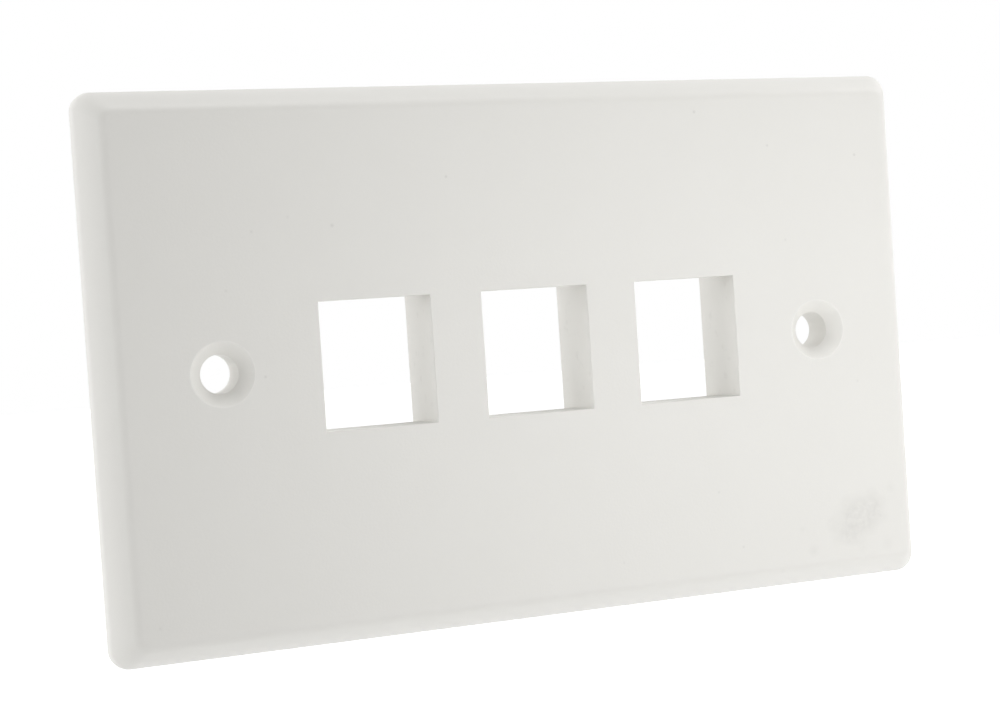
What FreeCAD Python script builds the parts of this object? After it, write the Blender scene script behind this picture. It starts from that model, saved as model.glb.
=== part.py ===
import FreeCAD, Part
import math
import os
import re

import Sketcher

# Three-port keystone faceplate for a single-gang wall box, made as one injection moulding.
# X runs along the plate, the face looks towards -Y and Z is up.
# The origin is the middle of the plane where the rear rim meets the wall.

SIZES = {
    # plate
    "plate_length": 113.7,
    "plate_height": 70.1,
    "plate_depth": 6.35,
    "face_wall": 2.2,
    "rim_wall": 1.9,
    "hollow_radius": 2.4,
    # rolled edge round the face
    "bevel_width": 2.7,
    "bevel_depth": 4.3,
    "bevel_radius": 9.0,
    "crease_radius": 1.5,
    "corner_radius": 2.2,
    "shoulder_radius": 2.6,
    # screw holes
    "screw_spacing": 83.34,
    "screw_bore": 4.85,
    "screw_sink": 8.0,
    "sink_depth": 1.8,
    "boss_diameter": 8.8,
    # keystone ports, across and up the plate
    "port_count": 3,
    "port_pitch": 21.7,
    "port_width": 14.7,
    "port_height": 16.2,
    "port_wall": 1.8,
    "edge_break": 0.15,
    # keystone ports, depths measured back from the face
    "port_depth": 9.75,
    "latch_lip": 4.0,
    "hook_lip": 6.5,
    "frame_depth": 8.0,
    # keystone ports, what stands above and below the opening
    "latch_room": 2.0,
    "latch_bar": 2.0,
    "hook_room": 0.3,
    "hook_bar": 2.0,
    "lead_in": 0.6,
}
# How far a cutting profile stands clear of the solid that it cuts.
CLEAR = 1.0
# How closely two places agree when edges are picked.
CLOSE = 0.01
# The height of the receptacle's outline above and below the middle of the port.
FRAME_TOP = "(port_height / 2 + latch_room + latch_bar)"
FRAME_FOOT = "(-port_height / 2 - hook_room - hook_bar)"
# The plane of the inside of the face, as a distance in front of the wall.
ROOF = "(plate_depth - face_wall)"


def bound(formula):
    """Point every size name in a formula at its cell in the spreadsheet."""
    return re.sub(r"[a-z]+_[a-z]+", lambda name: "Sizes." + name.group(), formula)


def bind(thing, prop, formula):
    """Bind a property of a thing to a formula of the driving sizes."""
    thing.setExpression(prop, bound(formula))


def value_of(thing, formula):
    """Work out a formula of the driving sizes."""
    return float(thing.evalExpression(bound(formula)))


def make_sheet(doc):
    """Put the driving sizes in a spreadsheet, each in a cell named after it."""
    sheet = doc.addObject("Spreadsheet::Sheet", "Sizes")
    for row, (name, size) in enumerate(SIZES.items(), start=1):
        sheet.set(f"A{row}", name)
        sheet.set(f"B{row}", str(size))
        sheet.setAlias(f"B{row}", name)
    doc.recompute()


def origin_part(body, role):
    """Find one of the body's origin planes or axes."""
    return next(item for item in body.Origin.OriginFeatures if item.Role == role)


def new_sketch(body, name, role, offset="0", shift="0"):
    """Start a sketch on an origin plane, moved along its normal and along its first axis."""
    sketch = body.newObject("Sketcher::SketchObject", name)
    sketch.AttachmentSupport = [(origin_part(body, role), "")]
    sketch.MapMode = "FlatFace"
    bind(sketch, "AttachmentOffset.Base.z", offset)
    bind(sketch, "AttachmentOffset.Base.x", shift)
    return sketch


def pin_point(sketch, geometry, point, across, up):
    """Fix a point of the sketch at a pair of formulas."""
    for kind, axis, formula in (("DistanceX", -2, across), ("DistanceY", -1, up)):
        if formula == "0":
            sketch.addConstraint(Sketcher.Constraint("PointOnObject", geometry, point, axis))
            continue
        place = value_of(sketch, formula)
        number = sketch.addConstraint(Sketcher.Constraint(kind, -1, 1, geometry, point, place))
        bind(sketch, f"Constraints[{number}]", formula)


def arc_between(start, end, radius, side):
    """Make the short arc from start to end whose centre lies on the left (1) or right (-1)."""
    chord = end - start
    reach = math.sqrt(radius ** 2 - (chord.Length / 2) ** 2)
    normal = FreeCAD.Vector(-chord.y, chord.x, 0).normalize()
    centre = (start + end) / 2 + normal * reach * side
    first, last = (start, end) if side > 0 else (end, start)
    angles = [math.atan2(p.y - centre.y, p.x - centre.x) for p in (first, last)]
    return Part.ArcOfCircle(Part.Circle(centre, FreeCAD.Vector(0, 0, 1), radius), *angles)


def draw_outline(sketch, corners, arc=None):
    """Draw a closed outline through corners, each a pair of formulas.

    The side that leaves the first corner is straight, or an arc when arc gives the formula
    of its radius and the side on which its centre lies.
    """
    points = [FreeCAD.Vector(*(value_of(sketch, f) for f in pair), 0) for pair in corners]
    sides = [(Part.LineSegment(point, points[i + 1 - len(points)]), 1, 2)
             for i, point in enumerate(points)]
    if arc:
        radius, side = arc
        bend = arc_between(points[0], points[1], value_of(sketch, radius), side)
        sides[0] = (bend, 1, 2) if side > 0 else (bend, 2, 1)
    numbers = [sketch.addGeometry(shape) for shape, _, _ in sides]
    if arc:
        size = sketch.addConstraint(Sketcher.Constraint("Radius", numbers[0], bend.Radius))
        bind(sketch, f"Constraints[{size}]", radius)
    for i, (_, head, _) in enumerate(sides):
        tail = sides[i - 1][2]
        sketch.addConstraint(
            Sketcher.Constraint("Coincident", numbers[i - 1], tail, numbers[i], head))
        pin_point(sketch, numbers[i], head, *corners[i])


def draw_circle(sketch, across, up, diameter):
    """Draw a circle whose centre and diameter are formulas."""
    centre = FreeCAD.Vector(value_of(sketch, across), value_of(sketch, up), 0)
    size = value_of(sketch, diameter)
    number = sketch.addGeometry(Part.Circle(centre, FreeCAD.Vector(0, 0, 1), size / 2))
    width = sketch.addConstraint(Sketcher.Constraint("Diameter", number, size))
    bind(sketch, f"Constraints[{width}]", diameter)
    pin_point(sketch, number, 3, across, up)


def draw_block(sketch, left, right, foot, top):
    """Draw an upright rectangle between four formulas."""
    draw_outline(sketch, [(left, foot), (right, foot), (right, top), (left, top)])


def extrude(body, kind, name, sketch, length, way="forward"):
    """Pad or pocket a sketch forward, backward or half to each side."""
    feature = body.newObject(f"PartDesign::{kind}", name)
    feature.Profile = sketch
    bind(feature, "Length", length)
    feature.SideType = "Symmetric" if way == "both" else "One side"
    feature.Reversed = way == "backward"
    return feature


def mirror(body, name, features, role):
    """Repeat features on the other side of one of the origin planes."""
    copy = body.newObject("PartDesign::Mirrored", name)
    copy.Originals = features
    copy.MirrorPlane = (origin_part(body, role), [""])
    body.Tip = copy


def round_edges(body, name, radius, picked):
    """Fillet the edges of the body so far that a test picks by their bounding boxes."""
    body.Document.recompute()
    base = body.Tip
    edges = [f"Edge{i}" for i, edge in enumerate(base.Shape.Edges, start=1)
             if picked(edge.BoundBox)]
    fillet = body.newObject("PartDesign::Fillet", name)
    fillet.Base = (base, edges)
    bind(fillet, "Radius", radius)
    body.Tip = fillet


def lies_back(box, back):
    """Tell whether an edge lies in the plane that far behind the face."""
    place = back - SIZES["plate_depth"]
    return abs(box.YMin - place) < CLOSE and abs(box.YMax - place) < CLOSE


def add_plate(body):
    """Make the solid plate with its rolled edge."""
    outline = new_sketch(body, "BlankOutline", "XZ_Plane")
    draw_block(outline, "-plate_length / 2", "plate_length / 2",
               "-plate_height / 2", "plate_height / 2")
    extrude(body, "Pad", "Blank", outline, "plate_depth")

    waste = new_sketch(body, "LongEdgeWaste", "YZ_Plane")
    draw_outline(waste, [("-plate_depth", "plate_height / 2 - bevel_width"),
                         ("bevel_depth - plate_depth", "plate_height / 2"),
                         ("bevel_depth - plate_depth", f"plate_height / 2 + {CLEAR}"),
                         (f"-plate_depth - {CLEAR}", f"plate_height / 2 + {CLEAR}"),
                         (f"-plate_depth - {CLEAR}", "plate_height / 2 - bevel_width")],
                 arc=("bevel_radius", -1))
    upper = extrude(body, "Pocket", "UpperEdge", waste, f"plate_length + {CLEAR}", "both")
    mirror(body, "LowerEdge", [upper], "XY_Plane")

    waste = new_sketch(body, "ShortEdgeWaste", "XY_Plane")
    draw_outline(waste, [("plate_length / 2 - bevel_width", "-plate_depth"),
                         ("plate_length / 2", "bevel_depth - plate_depth"),
                         (f"plate_length / 2 + {CLEAR}", "bevel_depth - plate_depth"),
                         (f"plate_length / 2 + {CLEAR}", f"-plate_depth - {CLEAR}"),
                         ("plate_length / 2 - bevel_width", f"-plate_depth - {CLEAR}")],
                 arc=("bevel_radius", 1))
    right = extrude(body, "Pocket", "RightEdge", waste, f"plate_height + {CLEAR}", "both")
    mirror(body, "LeftEdge", [right], "YZ_Plane")

    round_edges(body, "Shoulder", "shoulder_radius",
                lambda box: lies_back(box, SIZES["bevel_depth"]))
    inner_x = SIZES["plate_length"] / 2 - SIZES["bevel_width"] - CLOSE
    inner_z = SIZES["plate_height"] / 2 - SIZES["bevel_width"] - CLOSE
    round_edges(body, "Corners", "corner_radius",
                lambda box: (min(abs(box.XMin), abs(box.XMax)) > inner_x
                             and min(abs(box.ZMin), abs(box.ZMax)) > inner_z
                             and box.YLength > CLOSE))
    round_edges(body, "Crease", "crease_radius", lambda box: lies_back(box, 0))


def hollow_plate(body):
    """Hollow the plate from behind and round the inside corners."""
    outline = new_sketch(body, "HollowOutline", "XZ_Plane", ROOF)
    draw_block(outline, "rim_wall - plate_length / 2", "plate_length / 2 - rim_wall",
               "rim_wall - plate_height / 2", "plate_height / 2 - rim_wall")
    extrude(body, "Pocket", "Hollow", outline, f"{ROOF} + {CLEAR}")

    side_x = SIZES["plate_length"] / 2 - SIZES["rim_wall"]
    side_z = SIZES["plate_height"] / 2 - SIZES["rim_wall"]

    def inside(box):
        upright = (abs(abs(box.XMin) - side_x) < CLOSE and abs(abs(box.ZMin) - side_z) < CLOSE
                   and box.YLength > SIZES["hollow_radius"])
        round_roof = (lies_back(box, SIZES["face_wall"])
                      and max(abs(box.XMin), abs(box.XMax)) < side_x + CLOSE)
        return upright or round_roof

    round_edges(body, "HollowCorners", "hollow_radius", inside)


def add_screw_holes(body):
    """Stand a boss behind each screw and bore its countersunk hole."""
    outline = new_sketch(body, "BossOutline", "XZ_Plane", ROOF)
    draw_circle(outline, "-screw_spacing / 2", "0", "boss_diameter")
    boss = extrude(body, "Pad", "Boss", outline, ROOF, "backward")

    outline = new_sketch(body, "ScrewHoleOutline", "XY_Plane", shift="-screw_spacing / 2")
    draw_outline(outline, [("0", f"-plate_depth - {CLEAR}"),
                           ("screw_sink / 2", f"-plate_depth - {CLEAR}"),
                           ("screw_sink / 2", "-plate_depth"),
                           ("screw_bore / 2", "sink_depth - plate_depth"),
                           ("screw_bore / 2", f"{CLEAR}"),
                           ("0", f"{CLEAR}")])
    hole = body.newObject("PartDesign::Groove", "ScrewHole")
    hole.Profile = outline
    hole.ReferenceAxis = (outline, ["V_Axis"])
    hole.Angle = 360
    mirror(body, "RightScrewHole", [boss, hole], "YZ_Plane")


def add_ports(body):
    """Stand a receptacle behind the face at each port and cut its opening and catches.

    The module's latch springs into the window in the top wall and its fixed hook sits in
    the slot in the foot. Both walls carry on behind as bars of the frame.
    """
    outline = new_sketch(body, "ReceptacleOutline", "XZ_Plane", "plate_depth - port_depth")
    draw_block(outline, "-port_pitch - port_width / 2 - port_wall",
               "-port_pitch + port_width / 2 + port_wall", FRAME_FOOT, FRAME_TOP)
    block = extrude(body, "Pad", "Receptacle", outline, "port_depth - face_wall")

    outline = new_sketch(body, "OpeningOutline", "YZ_Plane", "-port_pitch")
    draw_outline(outline, [(f"-plate_depth - {CLEAR}", "-port_height / 2"),
                           (f"-plate_depth - {CLEAR}", "port_height / 2"),
                           ("latch_lip - plate_depth", "port_height / 2"),
                           ("latch_lip - plate_depth", f"{FRAME_TOP} + {CLEAR}"),
                           ("frame_depth - plate_depth", f"{FRAME_TOP} + {CLEAR}"),
                           ("frame_depth - plate_depth", f"{FRAME_TOP} - latch_bar"),
                           ("port_depth - lead_in - plate_depth", f"{FRAME_TOP} - latch_bar"),
                           ("port_depth - plate_depth", f"{FRAME_TOP} - latch_bar + lead_in"),
                           (f"port_depth - plate_depth + {CLEAR}",
                            f"{FRAME_TOP} - latch_bar + lead_in"),
                           (f"port_depth - plate_depth + {CLEAR}", f"{FRAME_FOOT} + hook_bar"),
                           ("frame_depth - plate_depth", f"{FRAME_FOOT} + hook_bar"),
                           ("frame_depth - plate_depth", f"{FRAME_FOOT} - {CLEAR}"),
                           ("hook_lip - plate_depth", f"{FRAME_FOOT} - {CLEAR}"),
                           ("hook_lip - plate_depth", "-port_height / 2")])
    opening = extrude(body, "Pocket", "Opening", outline, "port_width", "both")

    row = body.newObject("PartDesign::LinearPattern", "PortRow")
    row.Originals = [block, opening]
    row.Direction = (origin_part(body, "X_Axis"), [""])
    row.Mode = "Extent"
    bind(row, "Length", "(port_count - 1) * port_pitch")
    bind(row, "Occurrences", "port_count")
    body.Tip = row


def break_front_edges(body):
    """Round the front edges of the ports and of the countersinks."""
    reach = SIZES["screw_spacing"] / 2 + SIZES["screw_sink"] / 2 + CLOSE
    round_edges(body, "FrontEdges", "edge_break",
                lambda box: lies_back(box, 0) and max(abs(box.XMin), abs(box.XMax)) < reach)


def check(doc, body):
    """Stop unless every feature rebuilt and did its work, and the body is one sound solid."""
    for item in doc.Objects:
        if {"Invalid", "Error"} & set(item.State):
            raise RuntimeError(f"{item.Label} did not rebuild")
    for feature in body.Group:
        base = getattr(feature, "BaseFeature", None)
        if base and abs(feature.Shape.Volume - base.Shape.Volume) < CLOSE:
            raise RuntimeError(f"{feature.Label} changed nothing")
    if body.Shape.isNull() or not body.Shape.isValid() or len(body.Shape.Solids) != 1:
        raise RuntimeError(f"{body.Label} is not one sound solid")


def main():
    """Build the faceplate and write it."""
    doc = FreeCAD.newDocument("keystone_faceplate")
    make_sheet(doc)
    body = doc.addObject("PartDesign::Body", "faceplate")
    body.Label = "faceplate"
    body.Placement = FreeCAD.Placement()
    add_plate(body)
    hollow_plate(body)
    add_screw_holes(body)
    add_ports(body)
    break_front_edges(body)
    doc.recompute()
    check(doc, body)
    os.makedirs("parts", exist_ok=True)
    body.Shape.exportStep("parts/faceplate.step")


main()
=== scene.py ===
import math

import bpy
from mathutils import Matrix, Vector


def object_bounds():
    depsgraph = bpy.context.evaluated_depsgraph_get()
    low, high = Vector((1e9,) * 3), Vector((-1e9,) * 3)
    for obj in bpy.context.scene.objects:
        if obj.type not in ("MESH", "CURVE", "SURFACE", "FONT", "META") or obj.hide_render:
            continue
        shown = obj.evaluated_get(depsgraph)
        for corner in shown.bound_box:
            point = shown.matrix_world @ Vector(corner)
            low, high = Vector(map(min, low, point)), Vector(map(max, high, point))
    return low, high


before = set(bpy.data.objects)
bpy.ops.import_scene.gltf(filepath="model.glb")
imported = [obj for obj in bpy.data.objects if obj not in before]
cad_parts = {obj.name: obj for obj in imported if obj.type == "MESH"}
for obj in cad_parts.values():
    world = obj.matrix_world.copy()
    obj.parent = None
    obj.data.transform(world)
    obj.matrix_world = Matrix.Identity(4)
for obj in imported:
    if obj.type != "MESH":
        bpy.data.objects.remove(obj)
cad_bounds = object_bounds()

# Places and sizes are in metres, as in the frame: X along the plate, face to -Y, Z up.
# Only the finish of the plastic is set out in millimetres.
MILLIMETRES = 1000.0
FLOOR_HEIGHT = -0.11
FLOOR_REACH = 6.0

# The camera looks at the face from its left, a little above the middle.
CAMERA_PLACE = (-0.09960, -0.24187, 0.00552)
CAMERA_TURN = (88.532, 3.829, -21.894)
SENSOR_WIDTH = 36.0
LENS = 71.24
NEAREST_SEEN = 0.01
FARTHEST_SEEN = 20.0

# Each soft box: place, side of its square, watts. All of them face the plate.
SOFT_BOXES = {
    "box_near": ((0.03, -0.15, 0.00), 0.10, 0.023),
    "box_front": ((0.10, -0.18, 0.00), 0.12, 0.108),
    "box_right": ((0.25, -0.10, 0.00), 0.15, 0.102),
    "box_high": ((0.30, -0.03, 0.25), 0.20, 0.340),
    "box_top": ((0.00, -0.10, 0.50), 0.30, 0.914),
}
# Each glow of the room: the side it comes from, narrowness, strength.
ROOM_GLOWS = {
    "behind": ((0.0, 1.0, 0.0), 1.0, 1.92),
    "left": ((-1.0, 0.0, 0.0), 6.0, 2.19),
    "left_narrow": ((-1.0, 0.0, 0.0), 20.0, 2.05),
    "left_front": ((-0.9, -0.436, 0.0), 8.0, 0.95),
    "right_top": ((0.5, -0.43, 0.75), 8.0, 0.10),
}
WHITE = (1.0, 1.0, 1.0, 1.0)
PALE_GREY = (0.8, 0.8, 0.8, 1.0)
BACKDROP_WHITE = 1.0
FLOOR_GLOW = 0.7

# The finish: an off-white moulding with a fine satin grain, a little clouded in its colour.
# The screw holes are painted paler, in place of light that comes through the plastic.
PLASTIC = (0.805, 0.795, 0.760, 1.0)
PLASTIC_CLOUD = (0.795, 0.785, 0.749, 1.0)
PAINTED_LIGHT_IN_HOLES = (0.845, 0.835, 0.800, 1.0)
# Colour of the dirt marks, and of the painted shade on the port ledges.
DIRT_AND_SHADE = (0.30, 0.29, 0.27, 1.0)
NOISE_MIDDLE = 0.5
CLOUD_SIZE = 9.0
CLOUD_DETAIL = 2.0
GRAIN_SIZE = 0.32
GRAIN_DETAIL = 1.0
GRAIN_DEPTH = 0.000012
GLOSS_CLOUD_SIZE = 4.0
ROUGHNESS = 0.45
ROUGHNESS_SWING = 0.10
DIRT_AND_SHADE_ROUGHNESS = 0.5

# Specks moulded into the face: across, up, radius, darkness.
SPECKS = (
    (-51.5, -29.9, 0.30, 0.10),
    (-40.6, 10.1, 0.30, 0.10),
    (-36.9, 17.1, 0.28, 0.13),
    (-36.4, -0.7, 0.26, 0.20),
    (-32.2, 18.7, 0.32, 0.08),
    (-26.6, 17.4, 0.34, 0.20),
    (-11.1, 22.9, 0.26, 0.22),
    (10.2, -28.7, 0.22, 0.10),
    (24.8, 30.2, 0.30, 0.24),
    (24.9, -20.8, 0.26, 0.14),
    (28.1, -28.5, 0.26, 0.16),
    (35.6, 25.4, 0.26, 0.20),
    (37.5, 12.5, 0.28, 0.11),
    (47.5, -7.5, 0.28, 0.12),
    (49.2, 23.7, 0.28, 0.24),
    (49.8, -26.4, 0.50, 0.14),
    (43.0, -27.5, 0.40, 0.10),
)
# Faint rubbed spots beside the handled patch: across, up, radius, darkness.
RUBS = (
    (34.0, -32.6, 0.6, 0.05),
    (37.3, -27.1, 0.6, 0.04),
    (38.9, -30.2, 1.0, 0.07),
    (46.7, -30.6, 0.9, 0.04),
    (50.7, -30.4, 1.3, 0.05),
    (51.7, -22.7, 0.9, 0.05),
)
# The patch that hands have darkened, low on the right of the face.
PATCH_MIDDLE = (46.3, -26.4)
PATCH_SLANT = 25.0
PATCH_HALF_LENGTH = 5.4
PATCH_HALF_WIDTH = 3.6
PATCH_MOTTLE = 0.9
PATCH_MOTTLE_DETAIL = 4.0
PATCH_MOTTLE_START = 0.22
PATCH_MOTTLE_CONTRAST = 1.9
PATCH_RAGGED_SIZE = 1.8
PATCH_RAGGEDNESS = 0.8
PATCH_EDGE = 2.0
PATCH_DARKNESS = 0.20
# Scuffs that plugged modules have left on the walls of the ports, and painted shade on the ledges
# below, where the shade is deep. The painted shade on each ledge grows darker from left to right.
PORT_PITCH = 21.7
PORT_HALF_WIDTH = 7.6
PORT_HALF_HEIGHT = 8.3
SCREW_PLACE = 41.67
SINK_RADIUS = 4.1
BOSS_END = -0.2
FACE_BACK = 6.25
LEDGE_SLOPE = 0.7
SCUFF_SIZE = 1.6
SCUFF_DETAIL = 3.0
SCUFF_START = 0.60
SCUFF_CONTRAST = 5.0
SCUFF_DARKNESS = 0.12
LEDGE_PAINTED_SHADE = 0.21
LEDGE_SHADE_LEAN = 0.9


def plug(tree, value, socket):
    """Feed a socket from a wire or set it to a plain value."""
    if isinstance(value, Wire):
        tree.links.new(value.socket, socket)
    else:
        socket.default_value = value


class Wire:
    """An output in a node tree; arithmetic on it adds Math nodes."""

    def __init__(self, tree, socket):
        self.tree = tree
        self.socket = socket

    def math(self, operation, *others, clamp=False):
        node = self.tree.nodes.new("ShaderNodeMath")
        node.operation = operation
        node.use_clamp = clamp
        for socket, value in zip(node.inputs, (self, *others)):
            plug(self.tree, value, socket)
        return Wire(self.tree, node.outputs[0])

    def __add__(self, other):
        return self.math("ADD", other)

    def __sub__(self, other):
        return self.math("SUBTRACT", other)

    def __mul__(self, other):
        return self.math("MULTIPLY", other)

    def __truediv__(self, other):
        return self.math("DIVIDE", other)

    def __rsub__(self, other):
        return self.math("MULTIPLY_ADD", -1.0, other)

    __radd__ = __add__
    __rmul__ = __mul__

    def clamped(self):
        return self.math("ADD", 0.0, clamp=True)

    def at_least(self, other):
        return self.math("MAXIMUM", other)


class Shader:
    """A node tree that is filled one node at a time."""

    def __init__(self, owner):
        owner.use_nodes = True
        self.tree = owner.node_tree
        self.tree.nodes.clear()

    def node(self, kind, settings, sockets, out=0):
        """Add a node, set its properties and its sockets, and return one of its outputs."""
        node = self.tree.nodes.new("ShaderNode" + kind)
        for name, value in settings.items():
            setattr(node, name, value)
        for name, value in sockets.items():
            plug(self.tree, value, node.inputs[name])
        return Wire(self.tree, node.outputs[out]) if node.outputs else None

    def noise(self, place, size, detail=CLOUD_DETAIL):
        """Clouds of about the given size, around a middle of one half."""
        return self.node("TexNoise", {}, {"Vector": place, "Scale": 1.0 / size, "Detail": detail})

    def blend(self, factor, one, other):
        """Mix two colours."""
        return self.node("Mix", {"data_type": "RGBA"}, {0: factor, 6: one, 7: other}, out=2)

    def distance(self, place, point):
        return self.node("VectorMath", {"operation": "DISTANCE"}, {0: place, 1: point}, out=1)

    def axes(self, place):
        return [self.node("SeparateXYZ", {}, {0: place}, out=axis) for axis in "XYZ"]


def add_soft_box(name, place, side, watts):
    """Hang a square soft box that faces the plate."""
    data = bpy.data.lights.new(name, "AREA")
    data.size = side
    data.energy = watts
    lamp = bpy.data.objects.new(name, data)
    lamp.location = place
    lamp.rotation_euler = (-Vector(place)).to_track_quat("-Z", "Y").to_euler()
    lamp.visible_camera = False
    bpy.context.scene.collection.objects.link(lamp)


def add_camera():
    """Set up the camera that looks at the face."""
    data = bpy.data.cameras.new("camera")
    data.sensor_width = SENSOR_WIDTH
    data.lens = LENS
    data.clip_start = NEAREST_SEEN
    data.clip_end = FARTHEST_SEEN
    camera = bpy.data.objects.new("camera", data)
    camera.location = CAMERA_PLACE
    camera.rotation_euler = [math.radians(turn) for turn in CAMERA_TURN]
    bpy.context.scene.collection.objects.link(camera)
    bpy.context.scene.camera = camera


def seen_directly(shader):
    """One for the rays of the camera, of gloss and of transmission, and zero for the rest."""
    camera, gloss, glass = (shader.node("LightPath", {}, {}, out=f"Is {kind} Ray")
                            for kind in ("Camera", "Glossy", "Transmission"))
    return camera.at_least(gloss).at_least(glass)


def light_room():
    """Light the room from its walls, and show it as plain white."""
    world = bpy.data.worlds.new("room")
    bpy.context.scene.world = world
    shader = Shader(world)
    way = shader.node("TexCoord", {}, {}, out="Generated")
    strength = 0.0
    for side, narrowness, glow in ROOM_GLOWS.values():
        along = shader.node("VectorMath", {"operation": "DOT_PRODUCT"}, {0: way, 1: side}, out=1)
        strength = along.at_least(0.0).math("POWER", narrowness) * glow + strength
    walls = shader.node("Background", {}, {"Color": WHITE, "Strength": strength})
    white = shader.node("Background", {}, {"Color": WHITE, "Strength": BACKDROP_WHITE})
    both = shader.node("MixShader", {}, {0: seen_directly(shader), 1: walls, 2: white})
    shader.node("OutputWorld", {}, {"Surface": both})


def add_floor():
    """Lay a pale floor that is seen as white, with the shadow on it."""
    bpy.ops.object.select_all(action="DESELECT")
    bpy.ops.mesh.primitive_plane_add(size=FLOOR_REACH, location=(0, 0, FLOOR_HEIGHT))
    floor = bpy.context.object
    floor.name = "floor"
    bpy.ops.object.transform_apply(location=True, rotation=True, scale=True)
    material = bpy.data.materials.new("floor")
    shader = Shader(material)
    matt = shader.node("BsdfDiffuse", {}, {"Color": PALE_GREY})
    strength = seen_directly(shader) * FLOOR_GLOW
    glow = shader.node("Emission", {}, {"Color": WHITE, "Strength": strength})
    both = shader.node("AddShader", {}, {0: matt, 1: glow})
    shader.node("OutputMaterial", {}, {"Surface": both})
    floor.data.materials.append(material)


def spots(shader, place, marks):
    """Soft round marks on the face: how dark the darkest one is at each place."""
    face = min(corner[1] for corner in cad_bounds) * MILLIMETRES
    dark = None
    for across, up, radius, darkness in marks:
        away = shader.distance(place, (across, face, up))
        mark = (1.0 - away / radius).clamped() * darkness
        dark = mark if dark is None else dark.at_least(mark)
    return dark


def handled_patch(shader, place):
    """A mottled slanting patch low on the right of the face."""
    across, depth, up = shader.axes(place)
    across, up = across - PATCH_MIDDLE[0], up - PATCH_MIDDLE[1]
    slant = math.radians(PATCH_SLANT)
    along = (across * math.cos(slant) + up * math.sin(slant)) / PATCH_HALF_LENGTH
    aside = (up * math.cos(slant) - across * math.sin(slant)) / PATCH_HALF_WIDTH
    reach = (along * along + aside * aside).math("SQRT")
    ragged = reach + (shader.noise(place, PATCH_RAGGED_SIZE) - NOISE_MIDDLE) * PATCH_RAGGEDNESS
    inside = ((1.0 - ragged) * PATCH_EDGE).clamped() * depth.math("LESS_THAN", -FACE_BACK)
    mottle = shader.noise(place, PATCH_MOTTLE, PATCH_MOTTLE_DETAIL) - PATCH_MOTTLE_START
    return inside * (mottle * PATCH_MOTTLE_CONTRAST).clamped() * PATCH_DARKNESS


def port_scuffs_and_ledge_shade(shader, place):
    """Small grey scuffs on the walls inside the ports, and painted shade on the ledges."""
    across, depth, up = shader.axes(place)
    beside = across.math("WRAP", PORT_PITCH / 2, -PORT_PITCH / 2)
    within = (beside.math("ABSOLUTE").math("LESS_THAN", PORT_HALF_WIDTH)
              * across.math("ABSOLUTE").math("LESS_THAN", PORT_PITCH + PORT_HALF_WIDTH)
              * up.math("ABSOLUTE").math("LESS_THAN", PORT_HALF_HEIGHT)
              * depth.math("GREATER_THAN", -FACE_BACK))
    worn = shader.noise(place, SCUFF_SIZE, SCUFF_DETAIL) - SCUFF_START
    scuffs = (worn * SCUFF_CONTRAST).clamped() * SCUFF_DARKNESS
    facing = shader.axes(shader.node("NewGeometry", {}, {}, out="Normal"))[2]
    # Painted shade on the upward ledges of the ports, darker towards the right wall of each port.
    shade_lean = beside / PORT_HALF_WIDTH * LEDGE_SHADE_LEAN + 1.0
    ledge_shade = facing.math("GREATER_THAN", LEDGE_SLOPE) * shade_lean * LEDGE_PAINTED_SHADE
    return within * scuffs.at_least(ledge_shade)


def screw_holes(shader, place):
    """One in the screw holes and their countersinks, and zero elsewhere."""
    across, depth, up = shader.axes(place)
    aside = across.math("ABSOLUTE") - SCREW_PLACE
    off_axis = (aside * aside + up * up).math("SQRT")
    return off_axis.math("LESS_THAN", SINK_RADIUS) * depth.math("LESS_THAN", BOSS_END)


def white_plastic():
    """Satin off-white plastic with its grain, its specks, the marks of use and painted shade on
    the port ledges.
    """
    material = bpy.data.materials.new("white_plastic")
    shader = Shader(material)
    place = shader.node("VectorMath", {"operation": "SCALE"}, {
        "Vector": shader.node("TexCoord", {}, {}, out="Object"), "Scale": MILLIMETRES})
    # The darkest of the specks, rubs, handled patch, port scuffs and painted ledge shade at each
    # place.
    dirt_and_shade = (spots(shader, place, SPECKS)
            .at_least(spots(shader, place, RUBS))
            .at_least(handled_patch(shader, place))
            .at_least(port_scuffs_and_ledge_shade(shader, place)))
    colour = shader.blend(shader.noise(place, CLOUD_SIZE), PLASTIC, PLASTIC_CLOUD)
    # Painted light: the screw holes and their countersinks are painted paler.
    colour = shader.blend(screw_holes(shader, place), colour, PAINTED_LIGHT_IN_HOLES)
    grain = shader.node("Bump", {}, {
        "Distance": GRAIN_DEPTH,
        "Height": shader.noise(place, GRAIN_SIZE, GRAIN_DETAIL)})
    gloss_clouds = shader.noise(place, GLOSS_CLOUD_SIZE) - NOISE_MIDDLE
    skin = shader.node("BsdfPrincipled", {}, {
        "Base Color": shader.blend(dirt_and_shade, colour, DIRT_AND_SHADE),
        "Roughness": gloss_clouds * ROUGHNESS_SWING + ROUGHNESS + dirt_and_shade * DIRT_AND_SHADE_ROUGHNESS,
        "Normal": grain})
    shader.node("OutputMaterial", {}, {"Surface": skin})
    return material


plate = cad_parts["faceplate"]
plate.data.materials.clear()
plate.data.materials.append(white_plastic())
add_floor()
light_room()
for name, (place, side, watts) in SOFT_BOXES.items():
    add_soft_box(name, place, side, watts)
add_camera()
bpy.context.scene.view_settings.view_transform = "Standard"
